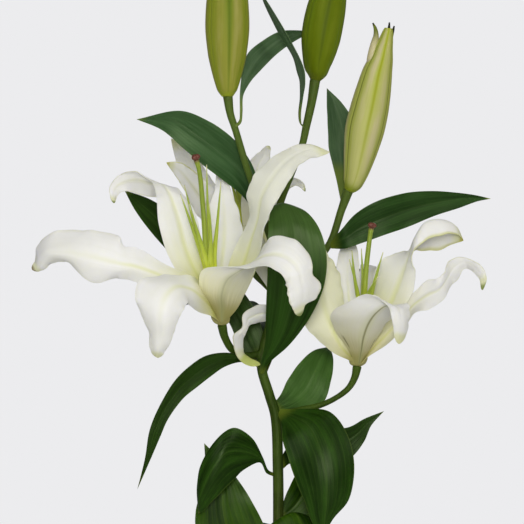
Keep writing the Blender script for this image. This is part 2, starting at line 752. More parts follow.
def leaf_look(name, dark, bright, young, seed, *, mottle=0.0, contrast=0.6, tip=0.3, stalk=0.12, glow=0.0):
    """Glossy lily leaf: parallel veins and uneven streaks, a paler midrib and rim, yellow-green along
    its stalk and at its tip. Contrast is the strength of the streaks and tip that of the tip's colour.
    Stalk is how far up the stalk's colour goes. Mottle darkens the foot and glow lightens the outer
    half."""
    look = Look(name)
    across, under, off, v = blade_coords(look)
    course, lines = veins(look, across, v, seed, 3.0, 0.05, 13)
    streak = look.fibres(course, v, 38.0, 2.4, seed, 4.0, 0.6)
    swathe = look.fibres(course, v, 6.0, 2.6, seed + 0.5)
    spots = look.noise(look.coords(), 70.0, 4.0, 0.6)
    rib = look.line(off, 0.06)

    green = look.mix(look.smooth(swathe, 0.3, 0.72), dark, bright)
    green = look.tint(green, bright, look.smooth(streak, 0.5, 0.75), contrast * 0.5)
    green = look.tint(green, dark, look.smooth(streak, 0.48, 0.28), contrast * 0.6)
    green = look.tint(green, young, look.smooth(lines, 0.6, 1.0), 0.08)
    green = look.tint(green, dark, look.smooth(spots, 0.56, 0.75), 0.15)
    if mottle:
        foot = look.times(look.smooth(v, 0.34, 0.12), look.smooth(streak, 0.4, 0.6))
        green = look.tint(green, srgb(26, 44, 14), foot, mottle)
    if glow:
        outer = look.times(look.smooth(v, 0.45, 0.85), look.smooth(streak, 0.3, 0.6, 0.7, 1.0))
        green = look.tint(green, young, outer, glow)
    green = look.tint(green, young, rib, 0.15)
    green = look.tint(green, srgb(116, 130, 40), look.smooth(v, stalk, stalk - 0.12), 0.6)
    green = look.tint(green, srgb(150, 158, 66), look.smooth(v, 0.94, 1.0), tip)
    green = look.tint(green, srgb(96, 116, 48), look.smooth(off, 0.94, 1.0), 0.25)
    matt = look.mix(0.4, green, srgb(84, 112, 66))
    gloss = look.smooth(streak, 0.3, 0.7, 0.32, 0.42)
    relief = look.total((lines, 0.15), (streak, 0.5), (rib, -0.6))
    look.soft(0.1, (0.0012, 0.002, 0.0006))
    return look.set(Base_Color=look.mix(under, green, matt),
                    Roughness=look.math("ADD", gloss, look.times(under, 0.16)),
                    Normal=look.bump(relief, 0.12, 0.5), Specular_IOR_Level=0.22,
                    Specular_Tint=srgb(205, 226, 176))


def tepal_look(name, seed, reach, crease, throat, pale, end, start, rim_amount):
    """White lily tepal: yellow-green throat that fades out at reach, a beige foot outside, a soft
    midrib and fine lengthwise veins. Crease is the strength of the dark line along its outer face,
    throat the colours of the inner face near the foot and further up and of the outer face there, pale
    its main colour and end that of its tip, which is fully reached a little past start."""
    look = Look(name)
    across, under, off, v = blade_coords(look)
    inner = look.math("SUBTRACT", 1.0, under)
    streak = look.fibres(across, v, 34.0, 3.0, seed, 5.0, 0.62)
    _, lines = veins(look, across, v, seed, 3.5, 0.07, 10)
    blotch = look.noise(look.coords(), 38.0)
    uneven = look.shifted(v, streak, 0.12)

    white = look.mix(look.smooth(blotch, 0.38, 0.68), pale, look.mix(0.08, pale, srgb(150, 150, 90)))
    white = look.tint(white, srgb(228, 228, 208), look.smooth(streak, 0.5, 0.78), 0.2)
    cream = look.mix(under, throat[1], throat[2])
    white = look.tint(white, cream, look.smooth(uneven, reach, 0.1), 0.85)
    heart = look.mix(under, throat[0], srgb(188, 180, 122))
    white = look.tint(white, heart, look.smooth(uneven, reach * 0.5, 0.05), 0.85)
    white = look.tint(white, srgb(176, 170, 104), look.smooth(v, 0.12, 0.03))
    # along the middle: the spine at the foot, the rib inside, the keel and its dark groove outside
    white = look.tint(white, srgb(140, 140, 60), look.line(off, 0.3), look.smooth(v, 0.2, 0.04), 0.7)
    white = look.tint(white, srgb(220, 224, 124), look.line(off, 0.22), look.smooth(v, 0.8, 0.2), inner, 0.45)
    white = look.tint(white, srgb(212, 214, 162), look.line(off, 0.3), look.smooth(v, 1.05, 0.55), under, 0.4)
    groove = look.times(look.line(off, 0.06), look.smooth(v, 0.8, 0.4), under)
    white = look.tint(white, srgb(140, 138, 88), groove, crease)
    # a dark slit near each edge, where the outer face springs from the bowl
    beside = look.line(look.math("ABSOLUTE", look.math("SUBTRACT", off, 0.8)), 0.07)
    length = look.times(look.smooth(uneven, 0.1, 0.14), look.smooth(uneven, 0.21, 0.18))
    white = look.tint(white, srgb(96, 92, 34), beside, length, under, crease * crease)
    rim = look.times(look.smooth(off, 0.86, 1.0), look.smooth(v, 0.35, 0.7))
    white = look.tint(white, srgb(206, 206, 122), rim, rim_amount)
    tip = look.shifted(v, blotch, 0.04)
    white = look.tint(white, srgb(216, 218, 150), look.smooth(tip, start - 0.07, start), 0.6)
    white = look.tint(white, end, look.smooth(tip, start, start + 0.04), 0.9)
    relief = look.total((lines, 0.18), (streak, 0.7))
    look.soft(0.35, (0.0022, 0.0022, 0.0014))
    return look.set(Base_Color=white, Roughness=look.smooth(streak, 0.3, 0.7, 0.42, 0.55),
                    Normal=look.bump(relief, 0.11, 0.5), Specular_IOR_Level=0.3)


def bud_look(name, seed, band, margin, colors):
    """Closed bud. A broad band runs up each tepal's midrib, softening towards the foot, with pale
    patches beside it; the tepals' margins meet in seams. The tips past the body have a u of their own.
    Band and margin are the strengths of those two."""
    look = Look(name)
    u, v = look.uv()
    off = look.times(look.math("PINGPONG", look.times(u, 3.0), 0.5), 2.0)  # 0 on a midrib, 1 on a seam
    streak = look.fibres(u, v, 70.0, 2.5, seed, 4.0, 0.55)
    cloud = look.fibres(u, v, 9.0, 3.0, seed)

    color = look.mix(look.smooth(off, 0.45, 0.85), colors["flank"], colors["edge"])
    patch = look.times(look.smooth(cloud, 0.42, 0.62), look.smooth(v, 0.12, 0.3))
    beside = look.times(look.smooth(off, 0.1, 0.3), look.smooth(off, 0.8, 0.5))
    color = look.tint(color, colors["patch"], patch, beside, 0.75)
    color = look.tint(color, colors["band"], look.smooth(streak, 0.45, 0.75), 0.25)
    color = look.tint(color, colors["band"], look.line(off, 0.34), look.smooth(v, 0.2, 0.62), band)
    color = look.tint(color, colors["line"], look.line(off, 0.12), look.smooth(v, 0.02, 0.45, 0.25, 0.75))
    color = look.tint(color, colors["margin"], look.smooth(off, 0.93, 0.995), margin)
    color = look.tint(color, colors["foot"], look.smooth(v, 0.13, 0.02))
    color = look.tint(color, colors["band"], look.smooth(v, 0.72, 1.0), 0.5)
    sheath = look.mix(look.smooth(v, 0.3, 0.8), colors["patch"], colors["margin"])
    sheath = look.tint(sheath, srgb(40, 44, 22), look.smooth(v, 0.86, 0.97))
    thorn = look.mix(look.smooth(v, 0.1, 0.45), colors["band"], srgb(20, 28, 12))
    ending = look.mix(look.math("GREATER_THAN", u, TIP_MARK * 1.5), sheath, thorn)
    color = look.tint(color, ending, look.math("GREATER_THAN", u, TIP_MARK * 0.5))
    look.soft(0.15, (0.002, 0.002, 0.0008))
    return look.set(Base_Color=color, Roughness=look.smooth(streak, 0.3, 0.7, 0.42, 0.54),
                    Normal=look.bump(streak, 0.12, 0.6), Specular_IOR_Level=0.2,
                    Specular_Tint=srgb(226, 230, 176))


def stem_look():
    """Green stem with lengthwise streaks and brown specks, paler above and browner near the soil."""
    look = Look("stem_skin")
    place = look.coords()
    height = look.parts(place)[2]
    streak = look.noise(look.scaled(place, 900.0, 900.0, 28.0), 1.0, 4.0, 0.6)
    blotch = look.noise(place, 45.0)
    specks = look.noise(place, 620.0, 2.0)
    color = look.mix(look.smooth(blotch, 0.35, 0.7), srgb(44, 64, 12), srgb(64, 86, 24))
    color = look.tint(color, srgb(104, 126, 56), look.smooth(streak, 0.5, 0.72), 0.35)
    color = look.tint(color, srgb(104, 124, 58), look.smooth(height, 0.42, 0.5), 0.4)
    color = look.tint(color, srgb(104, 84, 52), look.smooth(height, 0.36, 0.20), 0.35)
    color = look.tint(color, srgb(96, 70, 46), look.smooth(specks, 0.62, 0.74), 0.4)
    look.soft(0.12, (0.002, 0.002, 0.0008))
    return look.set(Base_Color=color, Roughness=look.smooth(streak, 0.3, 0.7, 0.4, 0.55),
                    Normal=look.bump(streak, 0.2, 0.7), Specular_IOR_Level=0.22,
                    Specular_Tint=srgb(214, 226, 176))


def stamen_look():
    """Yellow-green style and filaments, which have a u of their own."""
    look = Look("stamen_skin")
    u, v = look.uv()
    streak = look.fibres(u, v, 14.0, 8.0, 2.0, 4.0)
    style = look.mix(look.smooth(v, 0.1, 0.75), srgb(222, 232, 84), srgb(136, 156, 44))
    style = look.tint(style, srgb(120, 104, 60), look.smooth(v, 0.94, 1.0))
    filament = look.mix(look.smooth(v, 0.3, 0.85), srgb(228, 238, 78), srgb(160, 180, 60))
    filament = look.tint(filament, srgb(214, 214, 160), look.smooth(v, 0.9, 1.0))
    color = look.mix(look.math("GREATER_THAN", u, THREAD_MARK - 0.5), style, filament)
    color = look.tint(color, srgb(208, 216, 128), look.smooth(streak, 0.5, 0.75), 0.4)
    look.soft(0.25, (0.002, 0.002, 0.001))
    return look.set(Base_Color=color, Roughness=0.42, Normal=look.bump(streak, 0.12, 0.6),
                    Specular_IOR_Level=0.45)


def stigma_look():
    """Dark red-brown stigma, finely warty."""
    look = Look("stigma_skin")
    place = look.coords()
    warts = look.node("ShaderNodeTexVoronoi", {"Vector": place, "Scale": 2300.0})
    blotch = look.noise(place, 420.0)
    color = look.mix(look.smooth(blotch, 0.35, 0.65), srgb(72, 28, 30), srgb(98, 52, 42))
    color = look.mix(look.times(look.smooth(warts, 0.0, 0.5), 0.4), srgb(120, 70, 54), color)
    look.soft(0.15, (0.0015, 0.0008, 0.0006))
    return look.set(Base_Color=color, Roughness=look.smooth(blotch, 0.3, 0.7, 0.3, 0.45),
                    Normal=look.bump(warts, 0.12, 0.8), Specular_IOR_Level=0.35)


def clay_look():
    """Terracotta with throwing rings and pits, and a chalky bloom near the foot."""
    look = Look("terracotta")
    place = look.coords()
    grain = look.noise(place, 900.0, 4.0, 0.7)
    cloud = look.noise(place, 26.0, 4.0, 0.55)
    thrown = look.noise(look.scaled(place, 6.0, 6.0, 700.0), 1.0)
    pits = look.smooth(look.noise(place, 330.0, 2.0), 0.66, 0.78)
    color = look.mix(look.smooth(cloud, 0.3, 0.7), srgb(176, 98, 62), srgb(196, 120, 82))
    color = look.tint(color, srgb(212, 146, 108), look.smooth(grain, 0.45, 0.75), 0.35)
    color = look.tint(color, srgb(128, 68, 44), pits, 0.6)
    damp = look.math("ADD", look.parts(place)[2], look.times(cloud, 0.03))
    bloom = look.times(look.smooth(damp, 0.065, 0.02), look.smooth(look.noise(place, 60.0), 0.35, 0.7))
    color = look.tint(color, srgb(222, 206, 190), bloom, 0.55)
    relief = look.total((grain, 0.5), (thrown, 0.6), (pits, -1.0))
    return look.set(Base_Color=color, Roughness=look.smooth(grain, 0.3, 0.7, 0.8, 0.93),
                    Normal=look.bump(relief, 0.35, 0.7), Specular_IOR_Level=0.3)


def earth_look(name, dark, light, scale):
    """Matt crumbs in two colours, finer where scale is greater."""
    look = Look(name)
    place = look.coords()
    grain = look.noise(place, scale, 5.0, 0.7)
    fleck = look.noise(place, scale * 3.1, 3.0, 0.6)
    color = look.mix(look.smooth(grain, 0.3, 0.7), dark, light)
    color = look.tint(color, light, look.smooth(fleck, 0.6, 0.72), 0.35)
    return look.set(Base_Color=color, Roughness=0.95, Normal=look.bump(grain, 0.8, 0.9),
                    Specular_IOR_Level=0.2)


# Control points, the same as in part.mjs, in millimetres

# A blade's stations are [left edge, midrib, right edge] from its foot on, and its last point is its tip.
# A bud's sections are [middle, radius] from its foot on, and its tips and the pedicels are points and radii.

AXIS = [
    [0, 0, STEM_FOOT], [1, 0, 130], [3, 2, 200], [0.4, 1, 260], [0.8, 0, 300], [0.6, 0, 338],
    [-1.2, 0, 376], [-5.6, 0, 391], [-11, 0.5, 411], [-8, 2, 430], [-2.5, 4, 448], [-2, 5, 468],
    [-3, 5, 486], [-4, 4, 502],
]

AXIS_RADII = [STEM_RADIUS, STEM_RADIUS, 4, 3.9, 3.8, 3.8, 3.7, 3.5, 3.4, 3.3, 3.2, 3.1, 3, 3]

PEDICELS = {
    "left_bloom": (
        [[-9.8, 1.2, 420], [-21, -2, 418], [-31, -7, 422], [-36.5, -12.5, 431], [-38.6, -18, 440]],
        [2.6, 2.6, 2.6, 2.8, 3.4],
    ),
    "right_bloom": (
        [[-1, 0, 375], [14, -2, 379.6], [30, -5, 383.4], [42, -7, 389.2], [50, -8, 395.6],
            [54.2, -8.7, 403], [56, -9, 411]],
        [2.7, 2.4, 2.1, 2, 2.2, 2.6, 3.3],
    ),
    "back_bloom": (
        [[-2, 4.8, 462], [-9, 11, 469], [-15, 18, 475], [-18, 23, 483]],
        [2.6, 2.6, 2.7, 3.4],
    ),
    "left_bud": (
        [[-4, 4, 499], [-10, -6, 516], [-16, -21, 534], [-22, -30, 552], [-29.2, -35, 576],
            [-32.7, -36, 587], [-34.4, -36, 599]],
        [2.8, 2.6, 2.5, 2.5, 2.5, 2.7, 3.5],
    ),
    "middle_bud": (
        [[-4, 4, 499], [2, 2, 524], [9, -3, 543], [17.4, -8, 565], [20.5, -10, 579],
            [24, -12, 595], [26.5, -12, 611]],
        [2.8, 2.6, 2.5, 2.5, 2.8, 3.1, 3.8],
    ),
    "tall_bud": (
        [[-2.2, 4.5, 457], [10, 6, 469], [26, 4, 483], [37, 0, 497], [45, -2, 520], [50, -3, 534]],
        [2.8, 2.6, 2.5, 2.5, 2.8, 3.6],
    ),
}

LEAVES = {
    # upper left, in front of the back bloom
    "leaf_upper_left": [
        [[-9, -1, 506], [-7.5, -1, 508], [-6, -2, 510]],
        [[-22, -15, 527], [-16.5, -14, 530], [-11, -14, 533]],
        [[-33, -26, 537], [-26, -24, 547], [-19, -25, 554.3]],
        [[-49, -31, 549], [-40, -29, 559.5], [-31, -31, 569.7]],
        [[-64, -33, 561.4], [-55.5, -31, 571.5], [-47, -33, 581.2]],
        [[-80, -31, 575.2], [-73.5, -30, 582.5], [-67, -31, 588.8]],
        [-98, -25, 583],
    ],
    # thin, on the left bud's pedicel, passing behind the middle bud
    "leaf_upper_thin": [
        [[-29.4, -37.2, 579], [-28.9, -37.4, 578], [-28.4, -37.2, 577]],
        [[-26.5, -38.4, 582], [-25.8, -38.6, 581], [-25.1, -38.4, 580.2]],
        [[-26, -38.8, 588], [-25.1, -38.6, 588], [-24.1, -38.4, 588]],
        [[-26, -37, 599], [-24.9, -36.6, 599], [-23.7, -37, 599]],
        [[-25.4, -31.5, 608.5], [-22.6, -31, 608], [-19.6, -32, 607.5]],
        [[-24, -26, 618], [-19, -26, 616], [-14, -28, 614.5]],
        [[-20.5, -19, 629], [-14, -18, 624], [-8, -19, 621]],
        [[-10.5, -10, 638], [-5, -8, 633], [1, -9, 630]],
        [[2, -1, 645], [6, 1, 641], [10.5, 0, 637]],
        [[14, 6, 646], [15.5, 7, 644], [17, 6, 641]],
        [25, 11, 645],
    ],
    # seen edge-on, on the middle bud's pedicel
    "leaf_upper_narrow": [
        [[18.4, -11, 579.2], [18.6, -11.6, 578.2], [18.8, -12.2, 577.2]],
        [[15.7, -12.6, 581], [16.4, -13.2, 580.2], [17.1, -13.8, 579.4]],
        [[14.8, -13.8, 587], [15.7, -14.6, 587], [16.6, -15.4, 587]],
        [[15.8, -18, 598], [16.9, -20, 598], [18, -22, 598]],
        [[15.8, -20.5, 607.5], [17.6, -25, 607.5], [19.3, -29.5, 607.5]],
        [[14.4, -21.5, 614.5], [16.8, -27.5, 614.5], [19.4, -33, 614]],
        [[11, -21, 626], [13, -28, 627], [15.5, -34, 626]],
        [[1, -20, 643], [3.5, -27, 645], [6, -33, 643]],
        [[-8, -19, 661], [-6.5, -23, 662], [-4.5, -28, 661]],
        [-13, -20, 674],
    ],
    # behind the left bloom
    "leaf_behind_left_bloom": [
        [[-15, 3, 412], [-12.5, 3.8, 414.5], [-10, 4.2, 417.5]],
        [[-25, 5, 421], [-18, 6.5, 427], [-10, 7, 434]],
        [[-34, 7, 441.5], [-28, 9, 448.5], [-19, 8, 456]],
        [[-57, 10, 468], [-48.5, 12, 475], [-40, 10, 481]],
        [[-72, 9, 486], [-64, 11, 492], [-55, 9, 499]],
        [[-87, 7, 503], [-79, 9, 509], [-71, 7, 515]],
        [[-99, 3, 519], [-94, 5, 523], [-88, 3, 527]],
        [-107, 0, 534],
    ],
    # big and centre front, its tip bent back
    "leaf_centre": [
        [[-12.4, -3.4, 407], [-10.8, -4, 405.4], [-9, -3.4, 406.4]],
        [[-11, -8.4, 415], [-8.6, -8.8, 413.4], [-6, -8.4, 412.6]],
        [[-8.5, -16.5, 427.5], [-1, -15.5, 425], [8.3, -17, 425.6]],
        [[-8, -27, 447], [7, -25, 445], [24, -27, 447]],
        [[-7, -34, 471], [12, -32, 468], [33, -33, 469]],
        [[-6.5, -36, 492], [13, -34, 491], [34, -34, 491]],
        [[-6, -33, 510], [10, -32, 513], [27, -31, 511]],
        [[-4, -25, 521], [5, -23, 524], [16, -23, 521]],
        [0, -12, 524],
    ],
    # right, on the tall bud's pedicel
    "leaf_right": [
        [[37, -2, 497], [37.5, -1.5, 495], [38, -2, 493]],
        [[45.5, -8, 507], [46.5, -7, 499.5], [47.5, -8, 493]],
        [[55.2, -8, 517.6], [57.2, -6, 507], [59.5, -8, 497]],
        [[71, -7, 526.6], [73.5, -5, 514], [75.5, -6, 502.6]],
        [[89, -4, 531.7], [91, -2, 520.3], [93, -3, 508.7]],
        [[106, -1, 533.3], [108.5, 1, 524.6], [110.5, 0, 516]],
        [[124, 3, 532.4], [126, 4, 527.5], [127.5, 3, 521.4]],
        [[138, 6, 530.6], [139, 7, 528.6], [140, 6, 526]],
        [150, 9, 528],
    ],
    # behind the tall bud
    "leaf_behind_tall_bud": [
        [[45, -0.5, 524], [46.5, 0, 524], [48, -0.5, 525]],
        [[41, 9, 544], [48, 11, 543], [55, 9, 544]],
        [[36.5, 14, 563], [47, 17, 562], [58, 15, 563]],
        [[35.5, 18, 580], [45, 21, 580], [55, 19, 580]],
        [[35, 22, 595], [40, 24, 596], [46, 23, 595]],
        [35, 25, 606],
    ],
    # left, hanging
    "leaf_left_hanging": [
        [[-12.4, -1.8, 409.4], [-12.8, -2, 410.8], [-13.2, -1.8, 412.2]],
        [[-19.5, -6.6, 412.4], [-19.5, -6.3, 414], [-19.5, -6.6, 415.6]],
        [[-26, -9.8, 413.6], [-25.5, -9.2, 416], [-25.5, -9.8, 418.2]],
        [[-36.5, -14.5, 410.5], [-36, -12.5, 415.8], [-36, -14.5, 420.4]],
        [[-46, -19, 404], [-47.5, -17, 411.5], [-49, -19, 418.5]],
        [[-56, -24, 396.3], [-58, -22, 404.5], [-60.5, -24, 411.6]],
        [[-65.5, -29, 388.5], [-68.5, -27, 394.7], [-71.5, -29, 400.5]],
        [[-75.6, -32, 375], [-79, -30, 379.5], [-82, -32, 383.2]],
        [[-81.4, -32, 362], [-85.6, -31, 364], [-88.8, -32, 366.5]],
        [[-87, -29, 349], [-89.8, -28, 348], [-92, -29, 347]],
        [-97.5, -22, 325],
    ],
    # middle right, pointing up behind the right bloom's pedicel
    "leaf_middle_right": [
        [[-3, 3, 384.5], [-0.8, 3, 381], [1.6, 2.6, 377.5]],
        [[2, 7, 390], [9, 8, 385], [17, 6, 378.5]],
        [[7.5, 9, 401], [19, 11, 393.5], [31.5, 8, 384]],
        [[16, 12, 413], [27, 14, 408], [38, 11, 401]],
        [[25, 18, 421], [32.5, 20, 419], [39.5, 17, 415]],
        [37, 30, 424],
    ],
    # big, arching over to the lower right in front of the stem
    "leaf_lower_right": [
        [[2.2, -2.5, 380.5], [1.4, -2.5, 378.5], [0.8, -2.5, 376.5]],
        [[21, -10, 381], [13, -12, 375], [3, -10, 369]],
        [[37, -18, 379], [23, -22, 368], [3.9, -17, 359]],
        [[50, -25, 361], [30, -29, 353], [8, -24, 346]],
        [[53.7, -28, 338], [34, -32, 335], [12.5, -27, 332]],
        [[49.6, -28, 318], [34.5, -31, 317], [19, -27, 317]],
        [[38.4, -26, 304], [33, -28, 302], [24.5, -26, 302]],
        [31.8, -25.5, 292],
    ],
    # behind the lower right one
    "leaf_lower_right_back": [
        [[2.8, 1, 345.5], [3.4, 1, 342], [3.8, 0.6, 338.5]],
        [[6, 3.5, 352], [8, 4.5, 347.5], [9.5, 3.5, 342.5]],
        [[19, 7, 359], [24, 9, 350], [29, 7, 341]],
        [[36, 9, 366], [43, 11, 355], [50, 9, 345]],
        [[51, 10, 368], [56, 12, 363], [61.2, 10, 358]],
        [[61, 11, 373.5], [64, 12, 371], [65.8, 11, 368.5]],
        [75, 12, 379],
    ],
    # between those two and the fold, mostly behind the lower right one
    "leaf_low_right": [
        [[2.3, 0, 308], [2.9, -0.6, 305.5], [2.6, -1.6, 303]],
        [[5.5, -1, 319], [10.5, 0, 311], [16, -2, 302]],
        [[12, -1, 333], [20, 1.5, 324], [30.5, -1, 312]],
        [[21, -1, 347], [28.5, 1.5, 339], [37.5, -1, 328]],
        [[31, -2, 354], [35.5, 0, 350], [40, -2, 345]],
        [40, -3, 359],
    ],
    # folds over at the bottom edge of the photo
    "leaf_low_fold": [
        [[2, -3.2, 290], [0.4, -3.6, 289], [-1.2, -3.4, 288]],
        [[10, -9, 300], [2, -12, 297], [-6, -11, 294]],
        [[24, -14, 305], [11, -17, 309], [-4, -15, 301]],
        [[34, -19, 296], [17, -23, 301], [-1, -20, 292]],
        [[35, -22.5, 277], [19, -28, 279], [4, -25, 273]],
        [24, -26, 248],
    ],
    # lower left, arching
    "leaf_lower_left": [
        [[-3, -1.5, 333.7], [-3, -1.5, 335], [-3, -1.5, 336.3]],
        [[-7.6, -5, 336], [-7, -5, 337.2], [-6.4, -5, 338.4]],
        [[-12, -9, 343.5], [-11, -9.5, 345.5], [-10, -9, 347]],
        [[-24, -16, 338], [-22, -18, 351], [-17.6, -15, 360.6]],
        [[-33, -22, 329], [-35.5, -26, 351], [-30.5, -21, 368.2]],
        [[-41, -23, 321], [-44, -27, 341], [-45, -22, 357]],
        [[-47, -22, 315], [-50.5, -25, 328], [-53.5, -21, 341]],
        [[-51, -20, 310.5], [-54, -22, 318], [-56, -19, 327]],
        [-55, -17, 308],
    ],
    # behind and under the lower left one, its tip just showing above it
    "leaf_lower_left_back": [
        [[-3.4, -0.5, 257.5], [-3, -1.2, 260], [-2.4, -2, 262.5]],
        [[-27, -8, 274], [-16, -8, 279], [-5, -9, 283]],
        [[-55, -12, 293], [-34, -11, 297], [-9, -12, 299]],
        [[-57, -13, 309], [-38, -11, 313], [-18, -12, 317]],
        [[-52, -12, 328], [-39, -10, 330], [-27, -11, 331]],
        [[-50.5, -10, 345], [-44.5, -9, 345], [-37, -10, 343]],
        [-51, -8, 357],
    ],
}

FAR_LEAVES = {
    "leaf_far_right": ribbon(
        [[0, 7, 466], [17, 26, 476], [42, 48, 478], [64, 66, 470], [76, 76, 456]],
        [5, 20, 27, 19], [0.72, -0.69, 0]),
    "leaf_far_left": ribbon(
        [[-4.5, 6.5, 445], [-24, 32, 454], [-50, 48, 457], [-70, 65, 452], [-83, 79, 439]],
        [5, 19, 26, 19], [0.72, 0.69, 0]),
    "leaf_far_high": ribbon(
        [[-10, 4, 405], [-5, 32, 430], [-3, 62, 444], [-1, 90, 446], [1, 112, 437]],
        [5, 17, 24, 18], [1, -0.1, 0]),
    "leaf_far_middle": ribbon(
        [[0, 3, 284], [3, 34, 294], [5, 64, 296], [6, 90, 288], [6, 108, 272]],
        [5, 21, 30, 22], [1, -0.1, 0]),
    "leaf_far_low": ribbon(
        [[1.4, 3.5, 362], [11, 30, 367], [20, 58, 364], [28, 86, 353], [34, 108, 336]],
        [5, 19, 26, 20], [0.93, -0.35, 0]),
}

